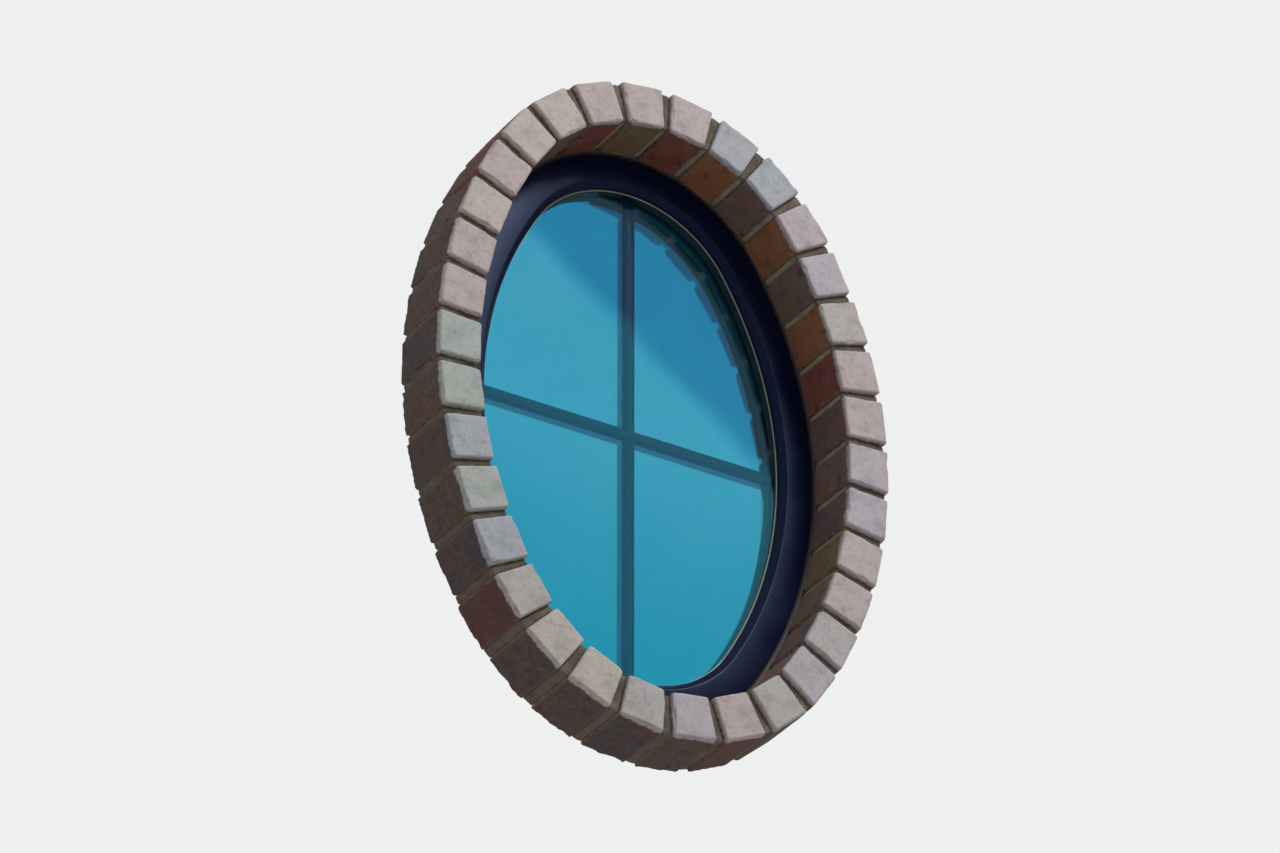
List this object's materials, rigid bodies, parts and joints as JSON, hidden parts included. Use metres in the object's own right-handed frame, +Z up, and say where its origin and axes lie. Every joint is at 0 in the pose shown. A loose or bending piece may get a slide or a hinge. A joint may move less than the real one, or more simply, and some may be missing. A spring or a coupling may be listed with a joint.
{
  "type": "oculus window",
  "caption": "Upright oval fixed window with a dark clad frame, insulating glass and a grille cross, set in a projecting ring of bricks laid on end.",
  "frame": {"origin": "middle of the window, on the back face of the nailing fin, where it lies on the wall sheathing", "axes": "+X to the right seen from outside, +Y into the building, +Z up; the bricks and the glass face -Y"},
  "size_m": [0.7466, 0.1725, 1.062],
  "materials": {
    "brick": "tumbled clay brick with a pale lime smear on the face and bare red-brown clay on the sides",
    "mortar": "sandy tan mortar, raked back",
    "dark_cladding": "dark bronze-black baked enamel, semi-gloss",
    "sealant": "matte tooled sealant",
    "backer_foam": "closed-cell foam",
    "pine": "clear satin varnish over laminated pine",
    "fin_metal": "mill finish",
    "glazing_tape": "matte grey-tan foam tape",
    "glass": "clear with a blue-green reflective coating",
    "spacer_butyl": "matte dark grey butyl strip",
    "grille_paint": "dark painted aluminium, satin",
    "clip_plastic": "moulded dark nylon",
    "key_metal": "plain zinc-plated",
    "block_rubber": "matte black"
  },
  "bodies": {
    "root": {"brick_01": "brick", "brick_02": "brick", "brick_03": "brick", "brick_04": "brick", "brick_05": "brick", "brick_06": "brick", "brick_07": "brick", "brick_08": "brick", "brick_09": "brick", "brick_10": "brick", "brick_11": "brick", "brick_12": "brick", "brick_13": "brick", "brick_14": "brick", "brick_15": "brick", "brick_16": "brick", "brick_17": "brick", "brick_18": "brick", "brick_19": "brick", "brick_20": "brick", "brick_21": "brick", "brick_22": "brick", "brick_23": "brick", "brick_24": "brick", "brick_25": "brick", "brick_26": "brick", "brick_27": "brick", "brick_28": "brick", "brick_29": "brick", "brick_30": "brick", "brick_31": "brick", "brick_32": "brick", "brick_33": "brick", "brick_34": "brick", "mortar_joints": "mortar", "perimeter_sealant": "sealant", "backer_rod": "backer_foam", "frame_cladding": "dark_cladding", "nailing_fin": "fin_metal", "glazing_tape": "glazing_tape", "outer_pane": "glass", "inner_pane": "glass", "spacer": "spacer_butyl", "setting_blocks": "block_rubber", "grille_vertical_bar": "grille_paint", "grille_left_bar": "grille_paint", "grille_right_bar": "grille_paint", "grille_centre_key": "key_metal", "grille_clip_top": "clip_plastic", "grille_clip_bottom": "clip_plastic", "grille_clip_left": "clip_plastic", "grille_clip_right": "clip_plastic", "wood_frame_ends": "pine", "wood_frame_sides": "pine", "interior_stop_ends": "pine", "interior_stop_sides": "pine"}
  },
  "joints": []
}
